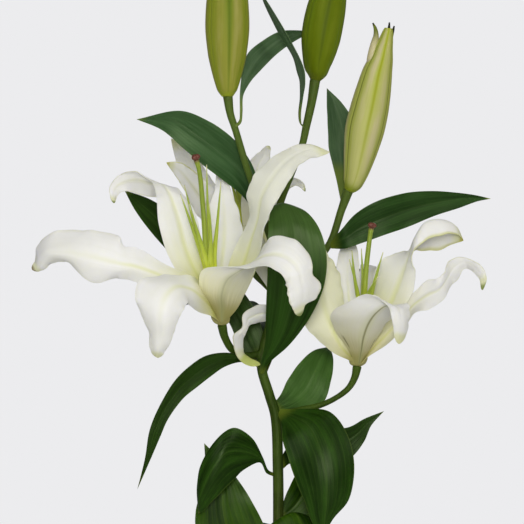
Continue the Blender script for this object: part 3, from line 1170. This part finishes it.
LEFT_BLOOM = {
    "foot": [-38.6, -18, 440],
    "heart": [-41.5, -27, 455.5],
    "tepals": {
        "left": [
            [[-41, -22, 442], [-43, -22, 444], [-42, -22, 446]],
            [[-49, -33, 450], [-48, -30, 454], [-50, -28, 459]],
            [[-64, -47, 457], [-61, -44, 465], [-60, -40, 474]],
            [[-86, -54, 466], [-80, -54, 474], [-78, -48, 482]],
            [[-103, -55, 471], [-99.5, -57, 481], [-95, -50, 492]],
            [[-108, -55, 471.5], [-106, -58, 482], [-106.5, -51, 494.5]],
            [[-116, -54, 471.5], [-115.5, -58, 484], [-110.5, -50, 502]],
            [[-128, -53, 469.5], [-131, -57, 488], [-126, -48, 505.5]],
            [[-141, -51, 481.5], [-146, -54, 490.5], [-142, -44, 506]],
            [[-152, -46, 484], [-159, -48, 489.5], [-158.6, -40, 502.4]],
            [[-159.5, -41, 480], [-164, -43, 485], [-166.8, -36, 493]],
            [[-164.3, -38, 477.6], [-166.6, -39, 480], [-168.4, -36, 484]],
            [-170.4, -36, 478.4],
        ],
        "lower_left": [
            [[-39.5, -23, 441.5], [-41, -23.5, 442.5], [-42, -22, 443.5]],
            [[-46, -31, 446], [-47, -33, 453], [-48.5, -28, 459]],
            [[-53.5, -45, 448.5], [-54, -49, 460.5], [-57, -43, 472]],
            [[-59.5, -60, 453], [-61.5, -64, 465.5], [-68, -56, 474.5]],
            [[-63, -71, 455], [-71, -76, 466], [-83, -66, 475]],
            [[-66, -77, 449], [-78, -82, 458], [-96.5, -73, 469]],
            [[-69.5, -78, 439.5], [-81, -83, 446], [-96, -76, 454]],
            [[-73.5, -75, 429], [-81.5, -79, 433], [-89.5, -75, 437.5]],
            [[-78.2, -72, 421.6], [-82.6, -75, 422.6], [-87.4, -72, 423.4]],
            [-82.8, -71, 417.6],
        ],
        "front": [
            [[-35.5, -21.5, 442.5], [-38.5, -23, 442], [-41.5, -22, 442.5]],
            [[-28, -27, 451.5], [-38.5, -34, 452], [-48, -30, 454]],
            [[-23, -34, 462], [-38.5, -48, 462], [-54, -43, 465.5]],
            [[-18, -42, 472.5], [-34.5, -59, 472], [-52, -55, 478]],
            [[-14, -48, 481], [-25.5, -66, 478.5], [-37, -68, 481]],
            [[-10.5, -54, 490.5], [-16, -69, 484], [-22, -78, 480]],
            [[-7, -60, 498.5], [-8, -73, 488], [-8.5, -84, 480]],
            [[1.5, -66, 502.5], [1, -77, 488.5], [0.5, -85, 476.5]],
            [[13, -70, 498.5], [10, -80, 484], [6, -84, 469]],
            [[22.5, -72, 487.5], [15, -81, 477], [6.8, -82, 466]],
            [[23.3, -74, 476], [16.5, -80, 470.5], [7.3, -81, 461.5]],
            [[29.2, -67, 468.5], [18.2, -78, 465], [8, -79.5, 457.5]],
            [[27, -67, 458.5], [18, -76, 459], [9.4, -78, 453.5]],
            [[19.2, -72, 454], [15.6, -74, 452], [11.4, -75, 450]],
            [15.8, -71, 446.5],
        ],
        "upper_right": [
            [[-38, -19, 444.5], [-35.5, -19.5, 444.5], [-34.5, -21, 443.5]],
            [[-37, -24, 458], [-31.5, -25, 457], [-26, -29, 455.5]],
            [[-34, -34, 481], [-24, -37, 480], [-14.5, -45, 480]],
            [[-27, -38, 499], [-18, -42, 499], [-10, -52, 499]],
            [[-20, -40, 514], [-13.5, -46, 513], [-7, -55, 512]],
            [[-20.5, -41, 530.5], [-11, -49, 528], [-1.5, -55, 525]],
            [[-16, -42, 542.5], [-4, -49, 541], [7, -52, 538]],
            [[-6.5, -42, 553.5], [5, -47, 552], [14.5, -50, 549.5]],
            [[6, -42, 562], [14.5, -45, 559], [22, -48, 555]],
            [[20, -42, 565.5], [26, -44, 562.5], [30, -45, 557]],
            [36.5, -41, 560],
        ],
        "upper_left": [
            [[-42, -20.5, 445.5], [-40.5, -18.5, 446], [-39, -18.5, 446]],
            [[-51, -25, 455], [-45.5, -23, 457.5], [-40.5, -21, 459]],
            [[-65, -38, 470], [-55.5, -35, 474.5], [-46.5, -32, 479.5]],
            [[-76.5, -44, 490.5], [-64, -41, 493.5], [-52, -38, 496]],
            [[-82.5, -45, 511.5], [-69, -42, 513.5], [-56, -39, 515]],
            [[-84, -44, 527], [-74.5, -40, 529.5], [-63, -36, 529]],
            [[-86, -40, 536.5], [-80, -34, 537.5], [-71.5, -28, 535]],
            [[-91, -33, 543], [-87.5, -28, 539], [-83.5, -21, 528.5]],
            [[-99, -28, 547], [-97.5, -24, 541], [-94, -19, 530]],
            [[-109, -26, 544.5], [-107, -23, 539.5], [-103.5, -20, 533]],
            [[-116.4, -26, 536], [-113.5, -24, 534.6], [-109.8, -22, 531.8]],
            [[-116.2, -26, 529.4], [-114.3, -25, 528.8], [-112.2, -23, 528]],
            [-114, -24, 524.6],
        ],
        "upper": [
            [[-40, -17.5, 446], [-38.5, -17, 446], [-37, -17.5, 445.5]],
            [[-43, -20, 459], [-38.5, -18, 459], [-34, -20, 458.5]],
            [[-49.5, -28, 479], [-39, -25, 479], [-29, -28, 479.5]],
            [[-50, -31, 499], [-37, -27, 499], [-23.5, -31, 501.5]],
            [[-48.5, -29, 518], [-37, -25, 519], [-27, -28, 518.5]],
            [[-43.5, -22, 535], [-38, -20, 536], [-33, -22, 535]],
            [[-42, -16, 549], [-39, -14, 550], [-36, -16, 549]],
            [-38.5, -7, 562],
        ],
    },
    "style": [
        [-41, -28, 453], [-45, -40, 467], [-48.5, -50, 483],
        [-51, -58, 516], [-54, -64, 547], [-56, -66, 554],
    ],
    "filaments": [
        [[-42, -30, 455], [-50, -46, 482], [-59, -56, 508], [-67, -60, 530.5]],
        [[-42, -29, 455], [-49, -42, 482], [-58, -49, 512], [-64.5, -52, 537]],
        [[-42, -31, 455], [-48.5, -54, 482], [-55, -66, 504], [-61, -73, 523.5]],
        [[-41, -28, 455], [-46, -42, 482], [-48, -49, 515], [-49, -52, 551]],
        [[-41, -30, 455], [-44, -47, 482], [-41.5, -57, 510], [-39, -62, 539]],
        [[-41, -31, 455], [-46, -54, 480], [-46, -68, 502], [-47, -76, 524]],
    ],
}

RIGHT_BLOOM = {
    "foot": [56, -9, 411],
    "heart": [57.5, -15, 424],
    "tepals": {
        "front": [
            [[59, -12.5, 414], [57, -14, 413], [54.5, -13.5, 413.5]],
            [[65.5, -19, 423.5], [58.5, -24, 422], [49, -20, 424]],
            [[72.5, -28, 434.5], [60, -38, 432], [40, -31, 438]],
            [[77.5, -37, 443.5], [63.5, -50, 442], [37.5, -45, 448]],
            [[82, -44, 450], [69, -59, 449.5], [50.5, -57, 456.5]],
            [[87, -51, 454], [76, -64, 454], [63.5, -66, 462]],
            [[91, -57, 452], [83.5, -67, 451.5], [75, -72, 455.5]],
            [[91.5, -60, 445], [85.5, -68, 444.5], [78.5, -71, 446.5]],
            [[89.5, -60, 435.5], [85.5, -65, 435.5], [80.5, -67, 436.5]],
            [84, -62, 427],
        ],
        "left": [
            [[53.5, -12.5, 413.5], [54, -11, 415], [55, -10, 416]],
            [[39, -18, 420.5], [45, -19, 424], [51, -16, 428]],
            [[28.5, -20, 429], [38.5, -25, 437], [49, -22, 444]],
            [[19, -17, 442], [32.5, -23, 453.5], [46, -20, 460]],
            [[17.5, -15, 457], [29.5, -20, 470], [42, -14, 477]],
            [[19, -14, 478], [26, -16, 485], [35, -12, 490]],
            [24, -13, 501],
        ],
        "back_left": [
            [[54.5, -9.5, 416], [55.5, -9, 416.5], [57, -8.5, 416.5]],
            [[50, -11, 427], [54, -9, 427], [58, -9, 427]],
            [[45, -16, 444.5], [51.5, -13, 444.5], [58.5, -11, 444.5]],
            [[41.5, -13, 464], [49.5, -10, 464], [58, -8, 464]],
            [[41.5, -5, 480], [49, -3, 480], [57.5, -3, 480]],
            [[44, 4, 492], [50, 5, 493], [56, 4, 493]],
            [50, 18, 505],
        ],
        "back": [
            [[57, -8, 416.5], [58.5, -8.5, 416], [59.5, -9.5, 415.5]],
            [[57, -7, 427], [61, -7, 427], [64, -9, 427]],
            [[57, -9, 447], [63, -7, 446.5], [69.5, -10, 446]],
            [[57.5, -4, 465], [65, -1, 465], [74, -6, 464]],
            [[58, 8, 478], [67, 11, 477], [76, 7, 476]],
            [[60, 24, 482], [70, 26, 480], [79, 23, 478]],
            [[65, 39, 474], [73, 40, 472], [80, 38, 470]],
            [77, 49, 458],
        ],
        "back_right": [
            [[58.5, -9, 415], [59.5, -10.5, 414.5], [59.5, -12, 414]],
            [[59.5, -12, 427.5], [62.5, -14.5, 425.5], [66, -17, 424]],
            [[62.5, -17, 448], [71.5, -24, 441.5], [80, -30, 440]],
            [[66, -19, 466], [80, -29, 457], [90.5, -37, 455]],
            [[69.5, -17, 480], [85.5, -31, 471], [95, -39, 469]],
            [[80, -16, 488], [89.5, -30, 481.5], [94.5, -39, 479.5]],
            [[90, -16, 491], [92.5, -28, 490.5], [94, -36, 488]],
            [[96, -12, 492], [96, -22, 501], [98, -31, 494]],
            [[103.5, -8, 491.5], [103, -18, 511], [106, -27, 500]],
            [[114, -5, 492], [114, -14, 513], [117, -23, 503]],
            [[122.5, -5, 496], [124.5, -12, 508.5], [124.5, -19, 503]],
            [130, -12, 498.5],
        ],
        "right": [
            [[60, -13, 414.5], [59.5, -14, 413.5], [58.5, -14.5, 412.5]],
            [[65, -17, 425], [65.5, -19, 421.5], [64, -18, 418]],
            [[74, -24, 440.5], [77, -27, 434], [77.5, -22, 427]],
            [[86, -32, 454], [87.5, -30, 446.5], [89.5, -24, 439]],
            [[96.5, -35, 464], [96, -32, 455], [96, -25, 448]],
            [[105, -33, 471], [105, -30, 461], [106, -25, 451.5]],
            [[112, -28, 472], [112.5, -26, 464.5], [115, -23, 457]],
            [[116.6, -26, 477], [118.2, -22, 472], [121.2, -18, 466.6]],
            [[119, -22, 484], [122, -19, 478.5], [126.4, -15, 471.6]],
            [[127.6, -18, 487], [129.3, -16, 483.5], [130.6, -13, 479]],
            [[141, -14, 482], [138.5, -12, 480], [135.5, -9, 478]],
            [[146, -12, 474], [144, -11, 472], [141.5, -9, 471.5]],
            [143.5, -11, 464],
        ],
    },
    "style": [
        [57.5, -13, 422], [59, -22, 438], [60.5, -32, 461],
        [62, -36, 481], [64.5, -38, 502], [65.3, -38.5, 507],
    ],
    "filaments": [
        [[57, -14, 424], [57, -27, 446], [55, -38, 466], [50, -44, 485.5]],
        [[58, -14, 424], [59, -26, 446], [59.5, -30, 470], [58.5, -31, 493]],
        [[58, -14, 424], [62, -28, 446], [67, -36, 468], [73.5, -40, 490.5]],
        [[58, -14, 424], [62, -24, 446], [67, -29, 466], [72, -32, 484]],
        [[57, -14, 424], [58, -31, 444], [62, -46, 460], [70, -56, 474]],
        [[57, -13, 424], [58, -22, 448], [54, -25, 472], [52, -22, 492]],
    ],
}

BACK_BLOOM = {
    "foot": [-18, 23, 483],
    "heart": [-22, 30, 497],
    "tepals": {
        "outer_left": [
            [[-22, 20, 487.5], [-20.5, 22.5, 488], [-20, 25, 488]],
            [[-34, 21, 500], [-28, 28, 502], [-21, 32, 504]],
            [[-50, 24, 518], [-41, 33, 521], [-31, 37, 524]],
            [[-61, 26, 533], [-52, 34, 535.5], [-43, 38, 538]],
            [[-67.5, 26, 545.5], [-59.5, 33, 547.5], [-51, 37, 549.5]],
            [[-71, 25, 556], [-65.5, 30, 558], [-59.5, 33, 560]],
            [-74.4, 23, 570.5],
        ],
        "inner_left": [
            [[-19, 17.5, 488], [-20.5, 18, 487.5], [-22, 19.5, 487]],
            [[-24, 9, 505], [-30, 11, 500], [-35, 15, 494.5]],
            [[-38, 5, 526], [-45, 9, 518], [-50, 14, 510]],
            [[-49, 3, 539.5], [-54, 8, 530], [-58.5, 13, 521]],
            [[-60, 2, 549], [-62, 7, 541], [-65, 11, 533.5]],
            [[-68, 1, 553], [-68.3, 4, 548], [-69.8, 7, 542]],
            [-77.5, 1, 553.2],
        ],
        "upper": [
            [[-20.5, 25.5, 488], [-18, 26.5, 488], [-16, 26, 488]],
            [[-23, 26, 504], [-17, 30, 504], [-11, 28, 504]],
            [[-25.5, 26, 524], [-16.5, 33, 524], [-7.5, 29, 525]],
            [[-24, 25, 541], [-15.5, 31, 541.5], [-8, 28, 541]],
            [[-18.5, 23, 555], [-13, 28, 552.5], [-8.5, 25, 550]],
            [[-11.5, 22, 562], [-8.5, 24.5, 559.4], [-5.4, 22, 556.6]],
            [[-8.6, 20, 564.2], [-6.8, 21.5, 562.6], [-4.9, 20, 561]],
            [-5.2, 18, 565],
        ],
        "right": [
            [[-16, 25, 488], [-15, 23.5, 488], [-14.5, 21.5, 488]],
            [[-16, 24, 505], [-9, 25, 501.5], [-4, 21, 499]],
            [[-12, 24, 526], [-4.5, 26, 521], [1.5, 21, 516.5]],
            [[-3, 23, 539], [1.5, 25, 533.5], [5, 21, 528.5]],
            [[5.5, 21, 543], [7, 22.5, 539], [8.5, 20, 535]],
            [[12.8, 20, 542.4], [13.2, 21, 540], [13.4, 19, 537.3]],
            [[18.4, 18, 539], [18, 18.6, 537.2], [17.4, 17.5, 535.2]],
            [20, 17, 533.4],
        ],
        "back": ribbon(
            [[-18, 27, 487], [-22, 41, 497], [-27, 60, 509], [-31, 80, 512], [-33, 98, 504], [-33, 108, 490]],
            [4, 13, 24, 26, 18], [0.96, 0.24, 0], 0.12),
        "curled": [
            [[-16, 20.5, 487], [-18, 20, 487], [-20, 20, 487]],
            [[-14, 15, 498], [-20, 16, 499], [-26, 16, 498]],
            [[-12, 5, 504], [-20, 5, 509], [-29, 6, 505]],
            [[-7, -5, 494], [-15, -7, 498], [-24, -6, 495]],
            [[-1, -9, 479], [-8, -12, 482], [-16, -11, 479]],
            [[5, -10, 462], [0, -14, 463], [-5, -16, 462]],
            [[1, -11, 446], [-3, -16, 450.5], [-5, -21, 455]],
            [[-14, -12, 440.5], [-14.5, -17, 447], [-15, -22, 453.5]],
            [[-18.6, -13, 440], [-20.5, -17, 444], [-23.5, -21, 447]],
            [[-21, -15, 436.5], [-22.5, -17, 437.2], [-24.5, -19, 438]],
            [[-23.5, -12, 431], [-26.5, -17, 431.5], [-30.5, -21, 432]],
            [[-24, -12, 424], [-26.8, -17, 424], [-30, -21, 423.5]],
            [[-22.5, -12.5, 419.5], [-24.5, -17, 418], [-26.5, -20, 415.5]],
            [[-18, -13.5, 416], [-19, -16.5, 413.8], [-20, -19, 411.5]],
            [-11.8, -16, 412],
        ],
    },
    "style": [
        [-20, 28, 495], [-23, 38, 510], [-26, 49, 527],
        [-28, 58, 542], [-29, 65, 553], [-29, 68, 558],
    ],
    "filaments": [
        [[-21, 29, 497], [-26, 40, 513], [-33, 50, 527], [-41, 58, 539]],
        [[-20, 29, 497], [-24, 44, 516], [-28, 60, 532], [-31, 75, 545]],
        [[-20, 29, 497], [-20, 41, 514], [-18, 52, 530], [-15, 62, 543]],
        [[-21, 30, 497], [-29, 43, 511], [-38, 56, 522], [-46, 68, 530]],
        [[-20, 28, 497], [-25, 37, 515], [-30, 44, 532], [-34, 50, 546]],
        [[-20, 30, 497], [-20, 46, 513], [-16, 62, 527], [-10, 76, 538]],
    ],
}

BUDS = {
    "bud_left": {
        "sections": [
            [[-34.6, -36, 598.6], 4], [[-34.7, -36, 603], 7.2], [[-34.7, -36, 611], 9.9],
            [[-34.6, -36, 627], 13.9], [[-34.5, -36, 647], 16], [[-34.5, -36, 664], 15.3],
            [[-34.4, -36, 681], 12.2], [[-34.2, -36, 695], 7.6], [[-34, -36, 704], 3.4], [[-34, -36, 707], 1],
        ],
    },
    "bud_middle": {
        "sections": [
            [[26.6, -12, 610.6], 3.7], [[27.6, -12, 615.5], 7.8], [[28.1, -12, 622], 10.3],
            [[29.4, -12, 631], 12.7], [[30.7, -12, 640], 14.3], [[32.4, -12, 650], 14.6],
            [[34.4, -12, 660], 14.2], [[36.8, -12, 672], 12.6], [[39, -12, 686], 9],
            [[40.8, -12, 698], 4.4], [[41.6, -12, 703], 1],
        ],
    },
    "bud_tall": {
        "sections": [
            [[50.2, -3.1, 533.6], 3.7], [[52.7, -3.9, 538], 6.9], [[55.2, -4.5, 546], 9.1],
            [[58.2, -5.2, 560], 12.1], [[61.6, -6, 577], 14.4], [[64.6, -6.7, 590], 14.1],
            [[67.2, -7.4, 602], 13], [[70.2, -8.1, 616], 11], [[72.8, -8.6, 625], 8.8],
            [[74.4, -9, 632], 7], [[76.2, -9.5, 639], 5.2], [[77.6, -10, 645.4], 3.6],
            [[77.8, -10, 647], 2.8],
        ],
        "tips": [
            ([[67.5, -8.5, 612], [66.9, -8.5, 625], [67.8, -8.5, 635], [69.1, -8.5, 642],
                [68.5, -8.5, 647], [66.8, -8.5, 650.7]], [5, 4.4, 2.9, 1.9, 1.2, 0.5]),
            ([[77, -10, 643], [78, -10.5, 646.5], [78.4, -11, 651]], [2.2, 1.1, 0.5]),
            ([[79.4, -8.5, 641], [80.9, -8, 645], [81.8, -8, 648.6]], [1.7, 1, 0.5]),
        ],
    },
}


# Build

DARK = leaf_look("leaf_dark", srgb(24, 46, 6), srgb(38, 66, 14), srgb(78, 104, 48), 1)
MID = leaf_look("leaf_mid", srgb(14, 38, 0), srgb(38, 70, 12), srgb(84, 110, 48), 2, contrast=1.0)
BRIGHT = leaf_look("leaf_bright", srgb(60, 94, 36), srgb(76, 112, 50), srgb(106, 136, 72), 3, mottle=0.9,
                   contrast=0.3)
YELLOW = leaf_look("leaf_yellow", srgb(16, 42, 0), srgb(44, 76, 0), srgb(98, 124, 20), 4, contrast=1.0)
BLUISH = leaf_look("leaf_bluish", srgb(64, 90, 58), srgb(88, 112, 80), srgb(104, 126, 88), 5, contrast=0.4,
                   stalk=0.34)
SMOOTH = leaf_look("leaf_smooth", srgb(40, 70, 34), srgb(64, 94, 56), srgb(92, 116, 78), 6, contrast=0.5)
LONG = leaf_look("leaf_long", srgb(22, 48, 12), srgb(42, 72, 28), srgb(86, 110, 56), 7, contrast=0.9, tip=0.9)
CENTRE = leaf_look("leaf_centre", srgb(16, 40, 0), srgb(38, 70, 14), srgb(82, 112, 54), 8, contrast=0.8,
                   glow=0.7)
LEAF_LOOKS = {
    "leaf_upper_left": SMOOTH, "leaf_upper_thin": BLUISH, "leaf_upper_narrow": BLUISH,
    "leaf_behind_left_bloom": DARK, "leaf_centre": CENTRE, "leaf_right": LONG, "leaf_behind_tall_bud": BLUISH,
    "leaf_left_hanging": DARK, "leaf_middle_right": BRIGHT, "leaf_lower_right": MID,
    "leaf_lower_right_back": DARK, "leaf_low_right": YELLOW, "leaf_low_fold": YELLOW, "leaf_lower_left": MID,
    "leaf_lower_left_back": YELLOW,
}

# The leaves in a spiral below the photo's edge
SPIRAL_LEAVES = 8
SPIRAL_TURN = 137.5
SPIRAL_START = 350
SPIRAL_TOP = 262
SPIRAL_DROP = 15
SPIRAL_WIDTHS = [5, 19, 27, 22, 11]
SPIRAL_REACH = [STEM_RADIUS - 1, 30, 62, 90, 108, 118]
SPIRAL_RISE = [0, 16, 24, 18, 2, -16]
SPIRAL_CUP = 0.1
LENGTH_CHANGE = 0.065
ARCH_CHANGE = 0.25
HIDDEN_RIPPLE = 1.0  # of all the leaves that the photo does not show
FAR_SEED = 20
SPIRAL_SEED = 30


def spiral_leaf(count):
    height = SPIRAL_TOP - SPIRAL_DROP * count
    turn = math.radians(SPIRAL_START + SPIRAL_TURN * count)
    out = np.array([math.cos(turn), math.sin(turn), 0])
    middle = curve(AXIS)(np.linspace(0, 1, 2001))
    foot = middle[np.argmin(np.abs(middle[:, 2] - height))]
    long = 1 + LENGTH_CHANGE * math.sin(2.1 * count)
    arch = 1 + ARCH_CHANGE * math.cos(count)
    mids = []
    for i, (reach, rise) in enumerate(zip(SPIRAL_REACH, SPIRAL_RISE)):
        far = reach * (long if i else 1)
        mids.append([foot[0] + out[0] * far, foot[1] + out[1] * far, height + rise * arch])
    return ribbon(mids, SPIRAL_WIDTHS, [out[1], -out[0], 0], SPIRAL_CUP)


for seed, (name, stations) in enumerate(LEAVES.items()):
    leaf(name, stations, LEAF_LOOKS[name], seed)
for seed, (name, stations) in enumerate(FAR_LEAVES.items()):
    leaf(name, stations, (MID, DARK)[seed % 2], seed + FAR_SEED, HIDDEN_RIPPLE)
for count in range(SPIRAL_LEAVES):
    material = (MID, BRIGHT, DARK)[count % 3]
    leaf(f"leaf_spiral_{count + 1}", spiral_leaf(count), material, count + SPIRAL_SEED, HIDDEN_RIPPLE)

WHITE = srgb(248, 247, 240)
SATIN = srgb(228, 228, 214)
CREAM = srgb(238, 237, 206)
# The skins of tepals: main colour, colour of the tip and where it starts, and how much of it the rim has
SKINS = {
    "plain": (WHITE, srgb(222, 222, 172), 0.945, 0.15),
    "green_tip": (WHITE, srgb(124, 138, 62), 0.945, 0.35),
    "brown_tip": (WHITE, srgb(134, 122, 92), 0.94, 0.2),
    "yellow_rim": (WHITE, srgb(196, 192, 84), 0.945, 0.8),
    "yellow_end": (WHITE, srgb(190, 200, 104), 0.84, 0.5),
    "satin": (SATIN, srgb(216, 216, 178), 0.945, 0.1),
    "cream": (CREAM, srgb(170, 176, 96), 0.945, 0.3),
}
# How far the throat's colour reaches, the strength of the outer crease, the throat's colours, and the
# tepals that are not plain
BLOOMS = {
    "bloom_left": (LEFT_BLOOM, 0.34, 0.25, (srgb(220, 222, 112), srgb(238, 236, 172), srgb(244, 239, 190)),
                   {"left": "brown_tip", "upper_left": "green_tip", "front": "green_tip",
                    "upper_right": "satin"}),
    "bloom_right": (RIGHT_BLOOM, 0.5, 0.85, (srgb(208, 202, 146), srgb(234, 231, 184), srgb(228, 222, 176)),
                    {"right": "green_tip", "back_right": "yellow_rim", "left": "cream"}),
    "bloom_back": (BACK_BLOOM, 0.4, 0.3, (srgb(214, 214, 140), srgb(236, 234, 190), srgb(234, 230, 186)),
                   {"inner_left": "yellow_rim", "right": "green_tip", "curled": "yellow_end"}),
}
stamen_skin = stamen_look()
stigma_skin = stigma_look()
for seed, (name, (bloom, reach, crease, throat, odd)) in enumerate(BLOOMS.items()):
    kinds = ["plain"] + sorted(set(odd.values()))
    skins = [tepal_look(f"{name}_{kind}", seed, reach, crease, throat, *SKINS[kind]) for kind in kinds]
    tepals(name + "_tepals", bloom, skins, {place: kinds.index(kind) for place, kind in odd.items()})
    stamens(name + "_stamens", bloom, stamen_skin)
    stigma(name + "_stigma", bloom, stigma_skin)

BUD_LOOKS = {
    "bud_left": bud_look("bud_olive", 1, 0.9, 0.25, {
        "flank": srgb(148, 149, 60), "edge": srgb(142, 152, 44), "patch": srgb(168, 162, 92),
        "band": srgb(98, 120, 14), "line": srgb(84, 106, 14), "margin": srgb(116, 130, 40),
        "foot": srgb(146, 158, 40)}),
    "bud_middle": bud_look("bud_green", 2, 0.7, 0.25, {
        "flank": srgb(98, 114, 10), "edge": srgb(106, 126, 20), "patch": srgb(110, 124, 24),
        "band": srgb(80, 96, 4), "line": srgb(72, 88, 4), "margin": srgb(88, 104, 12),
        "foot": srgb(98, 110, 18)}),
    "bud_tall": bud_look("bud_cream", 3, 0.75, 0.9, {
        "flank": srgb(190, 190, 118), "edge": srgb(174, 180, 88), "patch": srgb(204, 194, 152),
        "band": srgb(164, 174, 40), "line": srgb(146, 154, 16), "margin": srgb(104, 114, 40),
        "foot": srgb(142, 156, 40)}),
}
for name, part in BUDS.items():
    bud(name, part["sections"], part.get("tips", []), BUD_LOOKS[name])

stem(stem_look())
pot(clay_look())
soil([earth_look("peat", srgb(34, 24, 17), srgb(66, 48, 34), 420.0),
      earth_look("bark", srgb(60, 40, 26), srgb(112, 78, 50), 700.0),
      earth_look("perlite", srgb(196, 190, 178), srgb(228, 224, 214), 900.0)])


# Ground, light and camera, in metres

FLOOR_RADIUS = 7.0
FLOOR_SIDES = 96
AMBIENT = 0.15  # the ground's light on the plant, as a part of what the camera sees
MIDDLE = Vector((0, 0, 0.48))  # what the lights aim at
# Where each light stands, how wide it is, its watts and its colour
LIGHTS = {
    "front": ((0, -2.56, 0.93), 0.9, 30, (1.0, 0.99, 0.97)),
    "right": ((1.59, -1.59, 1.78), 0.9, 13, (1.0, 0.99, 0.96)),
    "left": ((-1.59, -1.59, 1.78), 0.9, 9, (0.98, 0.99, 1.0)),
    "top": ((0, -1.3, 2.73), 0.9, 4, (1.0, 1.0, 1.0)),
    "back": ((0.9, 2.3, 1.5), 1.2, 8, (0.98, 0.99, 1.0)),
}


def floor():
    mesh = bpy.data.meshes.new("floor")
    mesh.from_pydata(circle(FLOOR_SIDES, FLOOR_RADIUS).tolist(), [], [tuple(range(FLOOR_SIDES))])
    look = Look("floor_paint")
    color = look.mix(look.noise(look.coords(), 3.0), srgb(226, 227, 226), srgb(232, 233, 232))
    mesh.materials.append(look.set(Base_Color=color, Roughness=0.9, Specular_IOR_Level=0.2))
    placed("floor", mesh)


def light(name, at, size, watts, color):
    lamp = bpy.data.lights.new(name, "AREA")
    lamp.shape = "DISK"
    lamp.size = size
    lamp.energy = watts
    lamp.color = color
    made = placed(name, lamp)
    made.location = at
    made.rotation_euler = (MIDDLE - Vector(at)).to_track_quat("-Z", "Y").to_euler()


def camera():
    made = placed("camera", bpy.data.cameras.new("camera"))
    made.location = Vector(CAMERA_AT) * MM
    made.rotation_euler = (math.radians(90), 0, 0)
    made.data.sensor_width = SENSOR
    made.data.lens = SENSOR * abs(CAMERA_AT[1]) / FRAME_WIDTH
    made.data.clip_end = 100
    bpy.context.scene.camera = made


def world():
    """An even pale ground that lights the plant more softly than it shows."""
    made = bpy.data.worlds.new("studio")
    made.use_nodes = True
    tree = made.node_tree
    ground = tree.nodes["Background"]
    ground.inputs["Color"].default_value = srgb(236, 236, 238)
    rays = tree.nodes.new("ShaderNodeLightPath")
    level = tree.nodes.new("ShaderNodeMapRange")
    level.inputs["To Min"].default_value = AMBIENT
    level.inputs["To Max"].default_value = 1.0
    tree.links.new(rays.outputs["Is Camera Ray"], level.inputs["Value"])
    tree.links.new(level.outputs[0], ground.inputs["Strength"])
    bpy.context.scene.world = made


floor()
world()
for name, values in LIGHTS.items():
    light(name, *values)
camera()
bpy.context.scene.view_settings.view_transform = "Standard"
bpy.context.scene.view_settings.look = "None"
